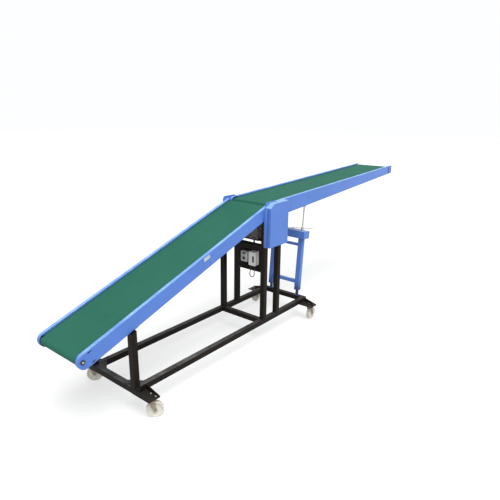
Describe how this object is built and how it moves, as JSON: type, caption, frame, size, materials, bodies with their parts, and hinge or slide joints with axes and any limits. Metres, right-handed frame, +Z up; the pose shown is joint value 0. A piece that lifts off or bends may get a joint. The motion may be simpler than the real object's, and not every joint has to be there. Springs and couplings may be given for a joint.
{
  "type": "truck loading conveyor",
  "caption": "Wheeled truck loading conveyor: a sloping belt on a square-tube base feeds a tapered boom belt hinged at the knee and set by screw jacks.",
  "frame": {"origin": "on the floor under the middle of the machine", "axes": "+X up the conveyor towards the boom's tip, +Y to the far side, +Z up"},
  "size_m": [6.1426, 1.1089, 1.8563],
  "materials": {
    "blue_paint": "semi-gloss sprayed enamel",
    "black_paint": "satin sprayed enamel",
    "green_belt": "matt PVC belt",
    "zinc_steel": "zinc plated, dull",
    "nylon": "moulded cream nylon",
    "black_plastic": "moulded, matt",
    "cable_rubber": "smooth flexible sheath",
    "box_plastic": "moulded enclosure",
    "motor_paint": "painted casting",
    "cast_housing": "painted casting",
    "bed_steel": "folded mild steel"
  },
  "bodies": {
    "chassis": {"base_cross_tubes": "black_paint", "base_rails": "black_paint", "cable_glands": "black_plastic", "castor_plates": "zinc_steel", "castor_trays": "black_paint", "control_cable": "cable_rubber", "control_panel": "black_paint", "drive_cover": "blue_paint", "front_posts": "black_paint", "geared_motor": "motor_paint", "incline_bearings": "cast_housing", "incline_bed": "bed_steel", "incline_belt": "green_belt", "incline_head_drum": "zinc_steel", "incline_return_rollers": "zinc_steel", "incline_side_far": "blue_paint", "incline_side_near": "blue_paint", "incline_tail_drum": "zinc_steel", "incline_ties": "bed_steel", "jack_feet": "blue_paint", "jack_legs": "blue_paint", "jack_nuts": "zinc_steel", "jack_ties": "blue_paint", "jack_top_beam": "blue_paint", "knee_plates": "blue_paint", "motor_plate": "black_paint", "pivot_bearings": "cast_housing", "post_cleats": "blue_paint", "rear_posts": "black_paint", "socket_box": "box_plastic", "starter_box": "box_plastic", "tube_end_caps": "black_plastic", "upper_cross_tubes": "black_paint"},
    "boom": {"boom_bed": "bed_steel", "boom_belt": "green_belt", "boom_jack_beam": "blue_paint", "boom_jack_lugs": "blue_paint", "boom_pivot_drum": "zinc_steel", "boom_return_rollers": "zinc_steel", "boom_side_far": "blue_paint", "boom_side_near": "blue_paint", "boom_ties": "bed_steel", "boom_tip_brackets": "blue_paint", "boom_tip_drum": "zinc_steel"},
    "jack_screws": {"jack_screws": "zinc_steel"},
    "castor_near_front": {"castor_fork_near_front": "zinc_steel"},
    "wheel_near_front": {"castor_wheel_near_front": "nylon"},
    "castor_far_front": {"castor_fork_far_front": "zinc_steel"},
    "wheel_far_front": {"castor_wheel_far_front": "nylon"},
    "castor_near_rear": {"castor_fork_near_rear": "zinc_steel"},
    "wheel_near_rear": {"castor_wheel_near_rear": "nylon"},
    "castor_far_rear": {"castor_fork_far_rear": "zinc_steel"},
    "wheel_far_rear": {"castor_wheel_far_rear": "nylon"}
  },
  "joints": [
    {"name": "boom_tilt", "type": "hinge", "parent": "chassis", "child": "boom", "pos_m": [-0.42696, 0, 1.63343], "axis": [0, -1, 0], "range_deg": [-10, 10]},
    {"name": "jack_travel", "type": "slide", "parent": "chassis", "child": "jack_screws", "axis": [0.0747, 0, 0.9972], "range_m": [-0.151, 0.151]},
    {"name": "swivel_near_front", "type": "hinge", "parent": "chassis", "child": "castor_near_front", "pos_m": [-2.49496, -0.474, 0.197], "axis": [0, 0, 1], "continuous": true},
    {"name": "roll_near_front", "type": "hinge", "parent": "castor_near_front", "child": "wheel_near_front", "pos_m": [-2.46278, -0.501, 0.08], "axis": [0.6428, 0.766, 0], "continuous": true},
    {"name": "swivel_far_front", "type": "hinge", "parent": "chassis", "child": "castor_far_front", "pos_m": [-2.49496, 0.474, 0.197], "axis": [0, 0, 1], "continuous": true},
    {"name": "roll_far_front", "type": "hinge", "parent": "castor_far_front", "child": "wheel_far_front", "pos_m": [-2.46278, 0.447, 0.08], "axis": [0.6428, 0.766, 0], "continuous": true},
    {"name": "swivel_near_rear", "type": "hinge", "parent": "chassis", "child": "castor_near_rear", "pos_m": [0.26304, -0.474, 0.197], "axis": [0, 0, 1], "continuous": true},
    {"name": "roll_near_rear", "type": "hinge", "parent": "castor_near_rear", "child": "wheel_near_rear", "pos_m": [0.30504, -0.474, 0.08], "axis": [0, 1, 0], "continuous": true},
    {"name": "swivel_far_rear", "type": "hinge", "parent": "chassis", "child": "castor_far_rear", "pos_m": [0.26304, 0.474, 0.197], "axis": [0, 0, 1], "continuous": true},
    {"name": "roll_far_rear", "type": "hinge", "parent": "castor_far_rear", "child": "wheel_far_rear", "pos_m": [0.30499, 0.4762, 0.08], "axis": [-0.0523, 0.9986, 0], "continuous": true}
  ],
  "couplings": [
    {"joint": "jack_travel", "follows": "boom_tilt", "m_per_rad": 0.85588}
  ]
}
